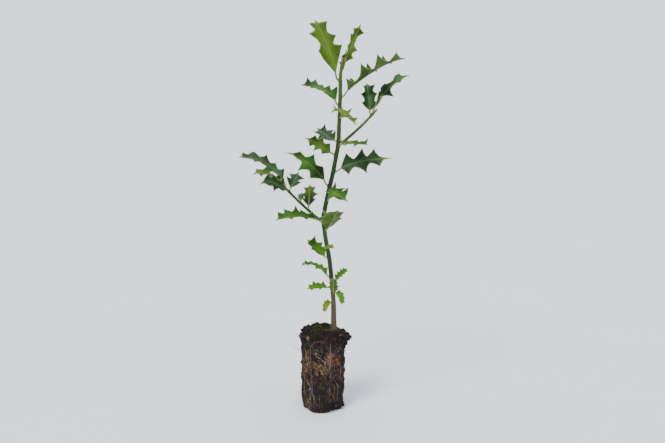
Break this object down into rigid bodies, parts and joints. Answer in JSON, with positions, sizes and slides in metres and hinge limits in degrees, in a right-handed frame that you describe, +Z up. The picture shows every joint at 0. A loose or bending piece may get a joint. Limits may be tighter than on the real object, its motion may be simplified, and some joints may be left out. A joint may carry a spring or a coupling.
{
  "type": "young holly plant on its root ball",
  "caption": "Cell-grown holly seedling standing on its bare plug of compost, with a leaning stem, side shoots, spiny folded leaves and pointed end buds",
  "frame": {"origin": "centre of the root ball's flat underside, at the height it stands on", "axes": "+Z up along the plant's height, +X to the picture's right, +Y away from its viewer"},
  "size_m": [0.192, 0.0847, 0.4473],
  "materials": {
    "compost": "moist, crumbly compost held by fine roots",
    "bark": "young green bark, brown grey at the foot",
    "bud_scale": "smooth green bud scales",
    "foliage": "leathery, glossy above and matt below"
  },
  "bodies": {
    "root": {"root_ball": "compost", "stem": "bark", "left_shoot": "bark", "right_shoot": "bark", "top_bud": "bud_scale", "left_bud": "bud_scale", "right_bud": "bud_scale", "leaf_top_left": "foliage", "leaf_top_right": "foliage", "leaf_apex_young": "foliage", "leaf_long_right": "foliage", "leaf_upper_left": "foliage", "leaf_high_front": "foliage", "leaf_shoot_back": "foliage", "leaf_shoot_right": "foliage", "leaf_mid_back": "foliage", "leaf_mid_left": "foliage", "leaf_mid_right": "foliage", "leaf_dark_right": "foliage", "leaf_mid_front": "foliage", "leaf_mid_long": "foliage", "leaf_low_left": "foliage", "leaf_low_front": "foliage", "leaf_end_far": "foliage", "leaf_end_front": "foliage", "leaf_end_low": "foliage", "leaf_shoot_up_back": "foliage", "leaf_shoot_up_front": "foliage", "leaf_shoot_small": "foliage", "leaf_foot_left_high": "foliage", "leaf_foot_small": "foliage", "leaf_foot_left_mid": "foliage", "leaf_foot_left_low": "foliage", "leaf_foot_front": "foliage", "leaf_foot_right_high": "foliage", "leaf_foot_right_low": "foliage", "leaf_foot_lowest": "foliage"}
  },
  "joints": []
}
